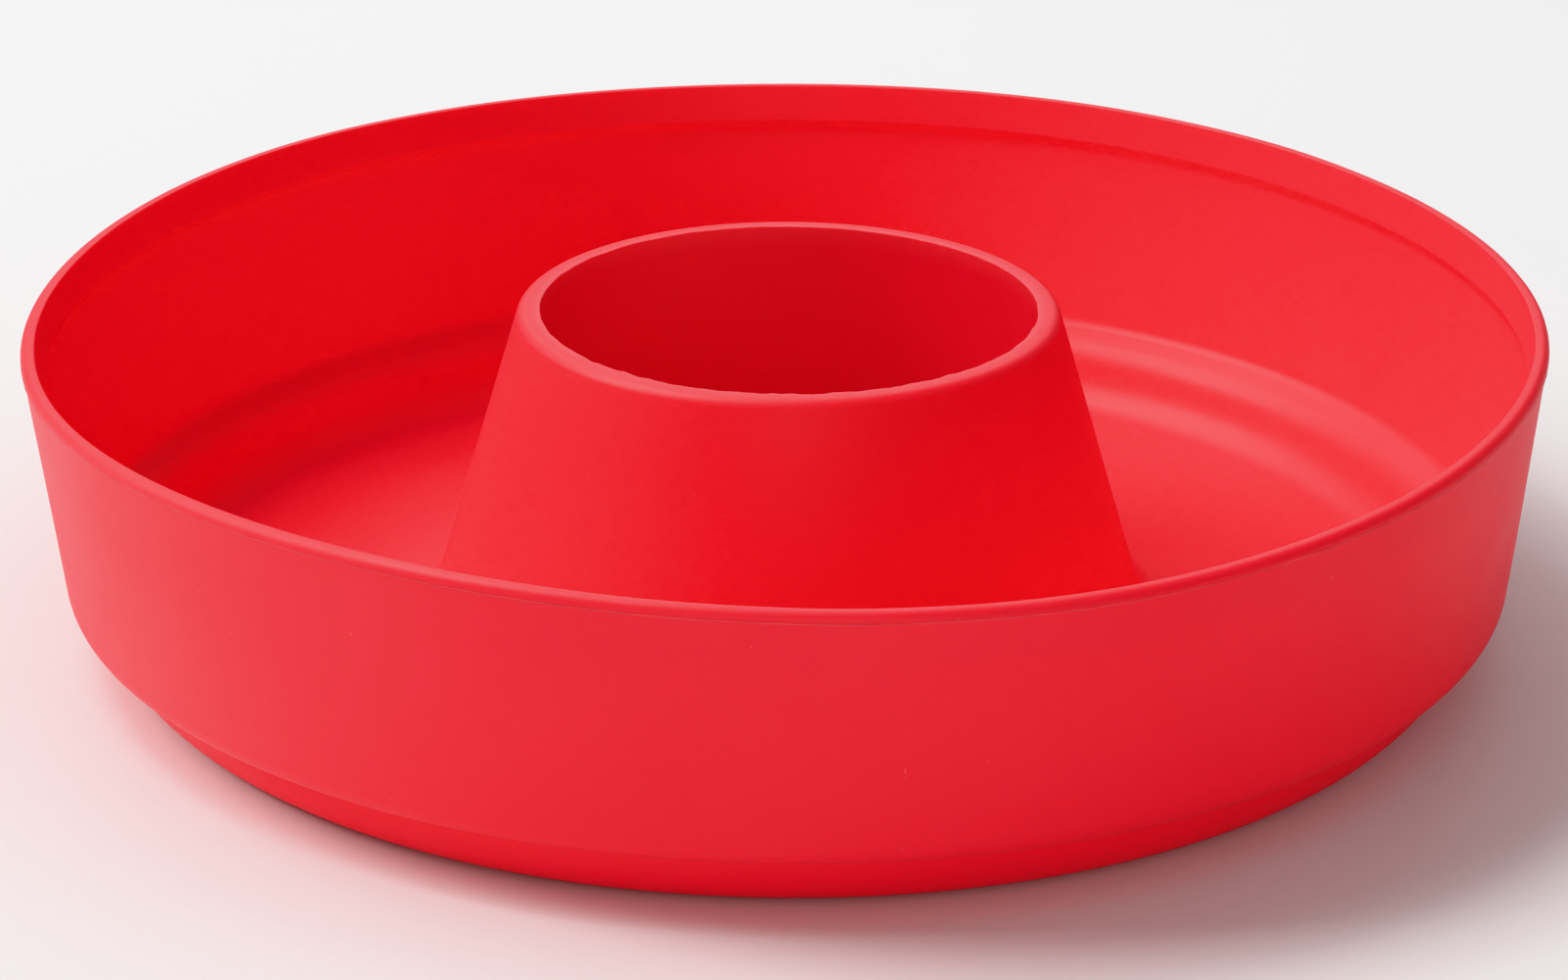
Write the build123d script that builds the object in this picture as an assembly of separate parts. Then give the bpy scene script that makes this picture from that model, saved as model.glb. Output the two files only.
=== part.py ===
"""Ring cake mould in soft silicone: a plain round pan with an open cone up the middle.

The mould is one wall of rubber folded round one axis. Its half section is drawn once,
then cut level by level into named zones that meet face to face, and each zone is turned
about the axis. Origin: centre of the flat underside. +Z is up, out of the batter side.
"""
from build123d import *
import os

# ---- driving dimensions, mm ----
rim_radius = 122.5          # outside of the rim
rim_height = 54.0           # underside to rim top
rim_lip_width = 2.3         # flat top of the rim
rim_edge_radius = 1.3       # soft outer edge of the rim
rim_trim_radius = 0.3       # trimmed inner edge of the rim
band_depth = 5.6            # thicker band under the rim, inside
band_step = 3.2             # height over which the band thins to the wall
wall_thickness = 1.8        # side wall, measured level

shoulder_radius = 117.0     # where the sloping side would meet the outer ledge
shoulder_height = 10.6
shoulder_round = 4.0
crease_radius = 111.8       # inner corner of the outer ledge
crease_height = 10.8
crease_round = 1.2
tier_radius = 110.8         # lower tier, where its side would meet the underside
tier_round = 10.0

floor_thickness = 2.3
riser_foot_radius = 107.9   # inside, where the riser would meet the floor
riser_foot_round = 6.0
riser_top_radius = 110.0    # inside, brow of the ledge
riser_top_height = 12.6
riser_top_round = 3.0
ledge_radius = 115.5        # inside, where the ledge meets the side wall
ledge_height = 14.25
ledge_round = 1.2

cone_lip_height = 54.2
cone_bore_radius = 40.05    # sharp inner edge of the cone's lip
cone_lip_radius = 43.6      # outer edge of the lip, before it is rounded
cone_lip_round = 1.8
cone_trim_radius = 0.2
cone_foot_radius = 58.9     # outside of the cone, where it would meet the floor
cone_foot_round = 4.0
cone_mouth_radius = 56.6    # hollow side of the cone, at the underside
cone_mouth_round = 2.0

# ---- levels at which the one moulding is divided into named zones ----
band_level = rim_height - band_depth - band_step
wall_level = 16.0
foot_level = 8.0
lip_level = 50.0
floor_outside = 101.5       # flat of the floor: between the riser's foot
floor_inside = 63.5         # and the cone's foot
floor_middle = (floor_inside + floor_outside) / 2


def outer_radius(height):
    """Radius of the outside of the side wall at a height: a straight draft."""
    draft = (rim_radius - shoulder_radius) / (rim_height - shoulder_height)
    return rim_radius - draft * (rim_height - height)


def half_section():
    """Closed half section of the whole moulding, as radius and height, outside first."""
    band_height = rim_height - band_depth
    corners = [
        ((rim_radius, rim_height), rim_edge_radius),
        ((shoulder_radius, shoulder_height), shoulder_round),
        ((crease_radius, crease_height), crease_round),
        ((tier_radius, 0), tier_round),
        ((cone_mouth_radius, 0), cone_mouth_round),
        ((cone_bore_radius, cone_lip_height), cone_trim_radius),
        ((cone_lip_radius, cone_lip_height), cone_lip_round),
        ((cone_foot_radius, floor_thickness), cone_foot_round),
        ((riser_foot_radius, floor_thickness), riser_foot_round),
        ((riser_top_radius, riser_top_height), riser_top_round),
        ((ledge_radius, ledge_height), ledge_round),
        ((outer_radius(band_level) - wall_thickness, band_level), band_step / 2),
        ((outer_radius(band_height) - rim_lip_width, band_height), band_step / 2),
        ((rim_radius - rim_lip_width, rim_height), rim_trim_radius),
    ]
    points = [point for point, _ in corners]
    rounds = [radius for _, radius in corners]
    outline = FilletPolyline(*points, radius=rounds, close=True)
    return Plane.XZ * make_face(outline)


def zone(section, inner, outer, low, high):
    """The part of the section between two radii and two heights, turned into a ring."""
    window = Plane.XZ * Pos((inner + outer) / 2, (low + high) / 2) * Rectangle(
        outer - inner, high - low)
    return revolve(section & window, Axis.Z, 360)


def mould():
    """Every zone of the moulding, by name, from the rim down and up the cone again."""
    section = half_section()
    near, far = cone_bore_radius - 5, rim_radius + 5
    below, top = -5, cone_lip_height + 5
    return {
        "rim_band": zone(section, floor_middle, far, band_level, top),
        "side_wall": zone(section, floor_middle, far, wall_level, band_level),
        "shoulder_step": zone(section, floor_outside, far, below, wall_level),
        "floor_pan": zone(section, floor_inside, floor_outside, below, foot_level),
        "cone_foot": zone(section, near, floor_inside, below, foot_level),
        "centre_cone": zone(section, near, floor_middle, foot_level, lip_level),
        "cone_lip": zone(section, near, floor_middle, lip_level, top),
    }


os.makedirs("parts", exist_ok=True)
for name, ring in mould().items():
    solid = ring.solids()[0]
    export_step(solid, f"parts/{name}.step")
    print(name, "volume", round(solid.volume), "mm3, top at", round(solid.bounding_box().max.Z, 2))
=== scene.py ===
# %% [markdown]
# # A soft ring mould
# This lesson models a round cake mould of red silicone rubber: a plain sloping wall, a base
# that steps in like a saucer, and an open cone up the middle. The real mould is one piece of
# rubber, pressed between two metal dies, so here it is one closed skin too. Every length is
# in metres, in the frame of the engineering model that is loaded first.

# %% Load the engineering model
import bpy
import math
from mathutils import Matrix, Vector


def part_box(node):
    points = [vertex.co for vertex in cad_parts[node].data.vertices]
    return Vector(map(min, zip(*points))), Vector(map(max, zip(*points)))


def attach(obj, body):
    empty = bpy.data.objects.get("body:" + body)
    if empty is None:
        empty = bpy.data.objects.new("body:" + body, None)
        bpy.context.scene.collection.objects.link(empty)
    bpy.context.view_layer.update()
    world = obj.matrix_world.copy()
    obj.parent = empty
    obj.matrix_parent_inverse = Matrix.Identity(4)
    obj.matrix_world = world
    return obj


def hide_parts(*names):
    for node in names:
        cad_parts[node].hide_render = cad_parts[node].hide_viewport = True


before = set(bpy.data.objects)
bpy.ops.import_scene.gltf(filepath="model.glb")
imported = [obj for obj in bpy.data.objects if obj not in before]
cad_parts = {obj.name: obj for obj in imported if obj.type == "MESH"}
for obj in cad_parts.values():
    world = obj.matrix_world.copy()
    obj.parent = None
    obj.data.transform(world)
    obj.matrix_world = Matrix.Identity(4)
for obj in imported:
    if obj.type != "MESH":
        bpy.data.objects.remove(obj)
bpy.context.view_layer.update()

# %% [markdown]
# ## Where we stand
# The mould is seen from a little above, from about three rim widths away, with a long lens, so
# that the circles stay calm. A camera looks down its own -Z. Tipping it up by a right angle
# makes it level, and taking away the angle of sight makes it look down at the mould. A tripod
# is never quite square, so the two small angles that are left over have names as well.

# %% The camera
mm = 0.001
rim_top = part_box("rim_band")[1][2]
eye_distance = 775.5 * mm
eye_climb = math.radians(19.62)      # how high the eye stands over the rim
eye_drop = math.radians(21.80)       # how far the lens looks down
eye_roll = math.radians(-0.297)
eye_swing = math.radians(0.168)
back = eye_distance * math.cos(eye_climb)
up = eye_distance * math.sin(eye_climb)
bpy.ops.object.camera_add(location=(0, -back, rim_top + up),
                          rotation=(math.pi / 2 - eye_drop, eye_roll, eye_swing))
eye = bpy.context.object
eye.name = "eye"
eye.data.sensor_width = 36           # both in millimetres, as on a lens
eye.data.lens = 110.3
bpy.context.scene.camera = eye
print("camera at", [round(c, 4) for c in eye.location])

# %% [markdown]
# ## The section, corner by corner
# A turned shape is easiest to draw as half a section, standing beside its axis. It starts from
# one point under the floor, made from a plane whose corners are merged, and grows from its
# live end right round the wall: in to the cone's mouth, up the hollow side, over the lip, back
# through the batter side to the rim, and down the outside. The alternative is to cut a solid
# block with other solids, but a drawn section keeps an even wall by itself.
# Below the rim's outer edge the two dies met: the lip overhangs the wall by a hair there, and
# a fin of rubber, thinner than paper, was left in the joint.

# %% The corners of the wall
# (radius, height, rounding), in millimetres from the axis and from the underside
top = rim_top / mm
rim_radius = 122.5
start = (80.0, 0.0)
hollow_side = [(56.6, 0, 2.0), (40.05, 54.2, 0.2), (43.6, 54.2, 1.8)]
batter_side = [
    (58.9, 2.3, 4.0), (107.9, 2.3, 7.0), (109.8, 11.7, 5.5), (115.5, 14.55, 2.4),
    (120.02, top - 8.1, 2.0), (119.2, top - 6.4, 1.0), (120.2, top, 0.3)]
outside = [
    (rim_radius, top, 1.35), (122.46, top - 1.55, 0.1),
    (122.15, top - 1.62, 0), (122.42, top - 1.72, 0), (122.2, top - 1.86, 0),
    (117.0, 10.6, 4.0), (111.8, 10.8, 1.2), (110.8, 0, 10.0)]
corners = hollow_side + batter_side + outside
print("corners in the section", len(corners))

# %% [markdown]
# ## Drawing it
# Rubber leaves a die with soft corners, each with its own radius. A straight run is an
# extrusion of the live end. A rounded corner is a spin of the live end about the arc's centre,
# which lies on the line that halves the corner. The run stops short of the corner, where the
# arc is tangent to it. A long run is extruded in several steps, because the wall is bent a
# little later and needs points along it to bend.

# %% Helpers for drawing
longest_run = 6 * mm
merge_gap = 0.002 * mm
hairline = 0.5 * mm                  # arcs smaller than this need few points
hairline_facet, arc_facet = math.radians(24), math.radians(11)


def deselect_all():
    bpy.ops.object.select_all(action="DESELECT")


def pick(piece):
    """Selects one piece and nothing else."""
    deselect_all()
    bpy.context.view_layer.objects.active = piece
    piece.select_set(True)


def edit(piece):
    """Opens one piece in edit mode with all its points selected."""
    pick(piece)
    bpy.ops.object.mode_set(mode="EDIT")
    bpy.ops.mesh.select_mode(type="VERT")
    bpy.ops.mesh.select_all(action="SELECT")


def done():
    bpy.ops.object.mode_set(mode="OBJECT")


def run_to(here, there):
    """Extrudes the live end straight from here to there, in steps of a few millimetres."""
    steps = max(1, math.ceil((there - here).length / longest_run))
    stride = (there - here) / steps
    for _ in range(steps):
        bpy.ops.mesh.extrude_vertices_move(
            TRANSFORM_OT_translate={"value": (stride.x, 0, stride.y)})


def turn_corner(here, before, corner, after, radius):
    """Runs to a corner's arc and spins round it; gives back where the arc ends."""
    way_in, way_out = (before - corner).normalized(), (after - corner).normalized()
    opening = way_in.angle(way_out)
    cut = radius / math.tan(opening / 2)
    centre = corner + (way_in + way_out).normalized() * radius / math.sin(opening / 2)
    run_to(here, corner + way_in * cut)
    turn = math.pi - opening
    side = -1 if way_in.cross(way_out) > 0 else 1
    facet = hairline_facet if radius < hairline else arc_facet
    bpy.ops.mesh.spin(steps=max(2, round(turn / facet)), angle=side * turn,
                      center=(centre.x, 0, centre.y), axis=(0, 1, 0))
    return corner + way_out * cut


# %% [markdown]
# ### The whole way round
# The merged point is all the mesh at first, and it is the live end. Each extrusion or spin
# leaves its own last point selected, so the next one goes on from there. After the last run
# the line comes home, and the two points that meet are merged, which closes it.

# %% Draw the section
deselect_all()
bpy.ops.mesh.primitive_plane_add(size=1 * mm, location=(start[0] * mm, 0, start[1] * mm))
mould = bpy.context.object
mould.name = "silicone_mould"
bpy.ops.object.transform_apply(location=True)
edit(mould)
bpy.ops.mesh.merge(type="CENTER")

path = [Vector(start) * mm]
path += [Vector((radius, height)) * mm for radius, height, _ in corners]
path += [path[0]]
live = path[0]
for index, (_, _, rounding) in enumerate(corners, start=1):
    if rounding:
        live = turn_corner(live, path[index - 1], path[index], path[index + 1], rounding * mm)
    else:
        run_to(live, path[index])
        live = path[index]
run_to(live, path[-1])
bpy.ops.mesh.select_all(action="SELECT")
bpy.ops.mesh.remove_doubles(threshold=merge_gap)
done()
print("section points", len(mould.data.vertices), "edges", len(mould.data.edges))

# %% [markdown]
# ## Turning it
# On the real mould's dies this is lathe work, and here it is a spin of the whole section about
# the upright axis. Six hundred steps put a point every 1.3 mm along the rim, fine enough for
# its small faults. The last copy lands on the first, so they are merged, and the faces are
# told which side is out.

# %% Turn the section about the axis
turns = 600
edit(mould)
bpy.ops.mesh.spin(steps=turns, angle=2 * math.pi, center=(0, 0, 0), axis=(0, 0, 1))
bpy.ops.mesh.select_all(action="SELECT")
bpy.ops.mesh.remove_doubles(threshold=merge_gap)
bpy.ops.mesh.normals_make_consistent(inside=False)
done()
print("mould faces", len(mould.data.polygons))

# %% [markdown]
# ## Where it was trimmed
# Rubber that creeps between the dies is torn or cut away by hand. It happens at two places:
# the fin just below the rim's outer edge, and the mouth of the cone, whose inner edge was
# punched out. Neither is a clean line. The points on both edges go in one group, a cloud
# texture pushes them in and out by a tenth of a millimetre or so, and the group is kept as an
# attribute that paints these edges paler: partly because torn rubber is paler than moulded
# rubber, and partly as a painted highlight where the thin fin and the cone's mouth catch the
# light.

# %% Mark and roughen the trimmed edges
fin_reach = 122.3 * mm
fin_low, fin_high = rim_top - 1.8 * mm, rim_top - 1.65 * mm
punched_reach = 40.35 * mm
punched_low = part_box("cone_lip")[1][2] - 0.3 * mm
# how pale each trimmed edge is painted: paler torn rubber, plus a painted highlight where the
# fin and the cone's mouth catch the light
fin_paleness, punched_paleness = 1.0, 0.35
torn = []
for vertex in mould.data.vertices:
    reach, height = vertex.co.xy.length, vertex.co.z
    on_fin = reach > fin_reach and fin_low < height < fin_high
    on_cone = reach < punched_reach and height > punched_low
    if on_fin or on_cone:
        torn.append(vertex.index)
group = mould.vertex_groups.new(name="torn")
group.add(torn, 1.0, "REPLACE")
mask = mould.data.attributes.new("torn_edge_and_highlight", "FLOAT", "POINT")
for index in torn:
    on_fin = mould.data.vertices[index].co.xy.length > fin_reach
    mask.data[index].value = fin_paleness if on_fin else punched_paleness

clouds = bpy.data.textures.new("nicks", "CLOUDS")
clouds.noise_scale = 3.2 * mm
clouds.noise_depth = 3
clouds.contrast = 1.6
nicks = mould.modifiers.new("nicks", "DISPLACE")
nicks.texture = clouds
nicks.texture_coords = "LOCAL"
nicks.vertex_group = "torn"
nicks.mid_level = 0.5
nicks.strength = 0.3 * mm
pick(mould)
bpy.ops.object.modifier_apply(modifier="nicks")
print("points on trimmed edges", len(torn))

# %% [markdown]
# ## A wall that isn't quite true
# Nothing stiffens this wall, so the rim of a real one is never a true circle: it is a little
# oval and its top edge rises and falls by up to a millimetre, while the base stays round. A
# lattice is the calm way to do that: a coarse cage whose top points are moved outwards and
# upwards by gentle waves, and which carries the mould's points with it. Points near the axis
# stay where they are, so the cone keeps its shape, and halfway up the wall moves a third as far.

# %% Bend the rim with a cage
cage_width = 0.26
still_reach, full_reach = 0.6, 0.9   # shares of the rim's radius: nothing moves, all moves
middle_share = 0.35
# (waves round the rim, size in mm, heading of a crest in degrees)
outward_waves = [(2, 0.8, 66), (3, 0.4, 60), (4, 0.3, 13)]
upward_waves = [(1, 0.7, 85), (3, 0.47, 5), (4, 0.43, 59)]


def wave(waves, heading):
    return sum(size * mm * math.cos(count * (heading - math.radians(crest)))
               for count, size, crest in waves)


deselect_all()
bpy.ops.object.add(type="LATTICE", location=(0, 0, rim_top / 2))
cage = bpy.context.object
cage.name = "cage"
cage.scale = (cage_width, cage_width, rim_top)
cage.data.points_u = cage.data.points_v = 11
cage.data.points_w = 3
cage.data.interpolation_type_u = cage.data.interpolation_type_v = "KEY_CARDINAL"
cage.data.interpolation_type_w = "KEY_LINEAR"
for point in cage.data.points:
    x, y, lift = point.co_deform.x, point.co_deform.y, point.co_deform.z + 0.5
    reach = math.hypot(x, y) * cage_width / (rim_radius * mm)
    if reach < still_reach or lift == 0:
        continue
    heading = math.atan2(y, x)
    share = min(1, (reach - still_reach) / (full_reach - still_reach))
    if lift < 0.75:
        share *= middle_share
    out = wave(outward_waves, heading) * share / cage_width
    point.co_deform.x += out * math.cos(heading)
    point.co_deform.y += out * math.sin(heading)
    point.co_deform.z += wave(upward_waves, heading) * share / rim_top
bend = mould.modifiers.new("bend", "LATTICE")
bend.object = cage
pick(mould)
bpy.ops.object.modifier_apply(modifier="bend")
bpy.data.objects.remove(cage)
print("rim after bending", [round(c, 5) for c in mould.dimensions])

# %% [markdown]
# ## Smooth shading
# Each face is flat, and smooth shading blends their directions. Weighted normals let the
# large faces win, so the flat tops stay flat up to their rounded edges instead of bulging.

# %% Smooth the shading
pick(mould)
bpy.ops.object.shade_smooth()
weights = mould.modifiers.new("even shading", "WEIGHTED_NORMAL")
weights.mode = "FACE_AREA"
weights.weight = 50
bpy.ops.object.modifier_apply(modifier="even shading")

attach(mould, "root")
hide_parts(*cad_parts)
print("stands in for", sorted(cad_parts))

# %% [markdown]
# ## Red silicone
# Silicone rubber is a soft, slightly cloudy solid with its pigment mixed all through it. Light
# goes a few millimetres in and comes out redder, which warms the shadows inside the cone. Its
# skin copies the blasted die: a fine even grain, satin rather than shiny. Three things then
# tell that it is real rubber: patches that are a trifle more matt where hands and trays
# rubbed it, paler torn edges, and the dust that it never stops collecting. The paler torn
# edges also carry a painted highlight along the fin and the cone's mouth.

# %% Patterns in the skin
silicone = bpy.data.materials.new("red silicone")
silicone.use_nodes = True
nodes, links = silicone.node_tree.nodes, silicone.node_tree.links
shader = nodes["Principled BSDF"]
place = nodes.new("ShaderNodeTexCoord").outputs["Object"]


def noise(scale, detail, roughness=0.5):
    """A cloud pattern with so many clouds to the metre."""
    node = nodes.new("ShaderNodeTexNoise")
    links.new(place, node.inputs["Vector"])
    node.inputs["Scale"].default_value = scale
    node.inputs["Detail"].default_value = detail
    node.inputs["Roughness"].default_value = roughness
    return node.outputs["Fac"]


def remap(value, low, high, to_low=0.0, to_high=1.0):
    """Stretches a value from one range to another and clips it there."""
    node = nodes.new("ShaderNodeMapRange")
    links.new(value, node.inputs["Value"])
    for socket, number in (("From Min", low), ("From Max", high),
                           ("To Min", to_low), ("To Max", to_high)):
        node.inputs[socket].default_value = number
    return node.outputs["Result"]


def maths(operation, first, second):
    """One sum on two values; the second may be a plain number."""
    node = nodes.new("ShaderNodeMath")
    node.operation = operation
    links.new(first, node.inputs[0])
    if isinstance(second, (int, float)):
        node.inputs[1].default_value = second
    else:
        links.new(second, node.inputs[1])
    return node.outputs["Value"]


def blend(share, under, over):
    """Lays a colour over another by a mask."""
    node = nodes.new("ShaderNodeMix")
    node.data_type = "RGBA"
    links.new(share, node.inputs["Factor"])
    for socket, colour in (("A", under), ("B", over)):
        target = [i for i in node.inputs if i.name == socket and i.type == "RGBA"][0]
        if isinstance(colour, tuple):
            target.default_value = (*colour, 1)
        else:
            links.new(colour, target)
    return [o for o in node.outputs if o.type == "RGBA"][0]


grain = noise(1500, 3, 0.6)
pigment = noise(28, 4, 0.55)
rubbed = remap(noise(17, 5, 0.6), 0.42, 0.68)
print("patterns made", len(nodes))

# %% [markdown]
# ### Dust and lint
# Dust is a scatter of separate grains, so it comes from a Voronoi pattern: every cell has one
# point and one random number. A grain shows where the surface is close to the point and the
# number is high. Lint is the same pattern pulled out long and made to wander by a noise.

# %% Dust and lint
def scatter(scale, size, share, stretch=(1, 1, 1), wander=0.0):
    """A mask of grains: cells to the metre, a grain's radius in cells, and how many show."""
    where = place
    if wander:
        drift = nodes.new("ShaderNodeTexNoise")
        links.new(place, drift.inputs["Vector"])
        drift.inputs["Scale"].default_value = 140
        pull = nodes.new("ShaderNodeVectorMath")
        pull.operation = "MULTIPLY_ADD"
        links.new(drift.outputs["Color"], pull.inputs[0])
        pull.inputs[1].default_value = (wander,) * 3
        links.new(place, pull.inputs[2])
        where = pull.outputs["Vector"]
    mapping = nodes.new("ShaderNodeMapping")
    mapping.inputs["Scale"].default_value = stretch
    links.new(where, mapping.inputs["Vector"])
    cells = nodes.new("ShaderNodeTexVoronoi")
    links.new(mapping.outputs["Vector"], cells.inputs["Vector"])
    cells.inputs["Scale"].default_value = scale
    channel = nodes.new("ShaderNodeSeparateColor")
    links.new(cells.outputs["Color"], channel.inputs["Color"])
    near = remap(cells.outputs["Distance"], size * 0.5, size, 1, 0)
    shown = maths("GREATER_THAN", channel.outputs["Red"], 1 - share)
    return maths("MULTIPLY", near, shown)


dust = scatter(420, 0.055, 0.16)
lint = scatter(120, 0.035, 0.10, stretch=(0.35, 1, 4.5), wander=0.012)
litter = maths("MAXIMUM", dust, lint)
# the trimmed edges are painted paler: torn rubber, and a painted highlight on the fin and the
# cone's mouth
torn_edge_and_highlight = nodes.new("ShaderNodeAttribute")
torn_edge_and_highlight.attribute_name = "torn_edge_and_highlight"
pale = remap(torn_edge_and_highlight.outputs["Fac"], 0.1, 1.0, 0.0, 0.8)
print("patterns made", len(nodes))

# %% [markdown]
# ### Colour, sheen and relief
# The pigment never mixes quite evenly, so two near reds are laid over each other by a slow
# pattern. The paler torn rubber, which also carries a painted highlight on the fin and the
# cone's mouth, and the dust go on top, each by its own mask. The same grain that ruffles the
# light a little also lifts the surface by some hundredths of a millimetre.
# Subsurface scattering lets red light travel through the rubber much further than the rest.

# %% Red silicone
# the first colour is the pale paint on the trimmed edges, paler torn rubber plus a painted
# highlight; the second is dust
torn_and_highlight_pink, dust_pink = (0.95, 0.23, 0.25), (0.9, 0.55, 0.5)
deep_red, full_red = (0.885, 0.032, 0.052), (0.905, 0.0345, 0.055)
colour = blend(remap(pigment, 0.3, 0.7), deep_red, full_red)
colour = blend(pale, colour, torn_and_highlight_pink)
colour = blend(maths("MULTIPLY", litter, 0.5), colour, dust_pink)
links.new(colour, shader.inputs["Base Color"])

moulded_satin, rubbed_satin = 0.47, 0.56
satin = remap(rubbed, 0, 1, moulded_satin, rubbed_satin)
satin = maths("ADD", satin, remap(grain, 0.3, 0.7, -0.02, 0.02))
satin = maths("ADD", satin, maths("MULTIPLY", litter, 0.2))
links.new(satin, shader.inputs["Roughness"])

relief = nodes.new("ShaderNodeBump")
relief.inputs["Strength"].default_value = 0.35
relief.inputs["Distance"].default_value = 0.06 * mm
links.new(maths("ADD", grain, maths("MULTIPLY", litter, 1.2)), relief.inputs["Height"])
links.new(relief.outputs["Normal"], shader.inputs["Normal"])

shader.inputs["IOR"].default_value = 1.45
shader.inputs["Subsurface Weight"].default_value = 0.45
shader.inputs["Subsurface Radius"].default_value = (1.0, 0.05, 0.05)
shader.inputs["Subsurface Scale"].default_value = 5 * mm
mould.data.materials.clear()
mould.data.materials.append(silicone)
print("silicone nodes", len(nodes))

# %% [markdown]
# ## The floor
# The mould stands on a plain pale table. It is a little off white, so that it takes a soft
# shadow and still throws light back up under the sloping wall.

# %% The floor
deselect_all()
bpy.ops.mesh.primitive_plane_add(size=6, location=(0, 0, 0))
floor = bpy.context.object
floor.name = "floor"
paper = bpy.data.materials.new("pale floor")
paper.use_nodes = True
paper_shader = paper.node_tree.nodes["Principled BSDF"]
paper_shader.inputs["Base Color"].default_value = (0.9, 0.9, 0.9, 1)
paper_shader.inputs["Roughness"].default_value = 0.9
floor.data.materials.append(paper)
print("floor", floor.dimensions.x, "m wide")

# %% [markdown]
# ## The light
# A satin red object is drawn by the pale sheen on it, so what it mirrors matters as much as
# what lights it. A big soft key stands on the left, and a smaller one high over it throws the
# wall's shadow on the floor of the trough. One behind draws the ledge, and a weak one low in
# front opens the near wall. A wide pale screen at the back is only there to be mirrored in the
# flat tops of the rim and the cone. A dim white world fills the rest, and a neutral view
# transform keeps the deep red pure in the shade and lets it pale in bright light.

# %% The light
mould_middle = Vector((0, 0, 0.03))
world = bpy.data.worlds.new("studio")
bpy.context.scene.world = world
world.use_nodes = True
world.node_tree.nodes["Background"].inputs["Color"].default_value = (1, 1, 1, 1)
world.node_tree.nodes["Background"].inputs["Strength"].default_value = 0.31


def softbox(name, heading, climb, watts, wide=0.7, high=0.7, away=1.6):
    """A soft lamp aimed at the mould. Its heading runs from the eye, to the right."""
    heading, climb = math.radians(heading), math.radians(climb)
    level = Vector((math.sin(heading), -math.cos(heading), 0))
    aim = level * math.cos(climb) + Vector((0, 0, math.sin(climb)))
    deselect_all()
    bpy.ops.object.light_add(type="AREA", location=mould_middle + aim * away,
                             rotation=(-aim).to_track_quat("-Z", "Y").to_euler())
    lamp = bpy.context.object
    lamp.name = name
    lamp.data.shape = "RECTANGLE"
    lamp.data.size, lamp.data.size_y = wide, high
    lamp.data.energy = watts
    print(name, watts, "W")


softbox("key", -90, 40, 12.5)
softbox("high_left", -90, 64, 7.0, wide=0.5, high=0.5)
softbox("high_back", -135, 62, 8.5)
softbox("front_low", 5, 16, 4.0)
softbox("screen", 180, 34, 6.5, wide=1.6, high=0.9, away=1.8)
bpy.context.scene.view_settings.view_transform = "Khronos PBR Neutral"
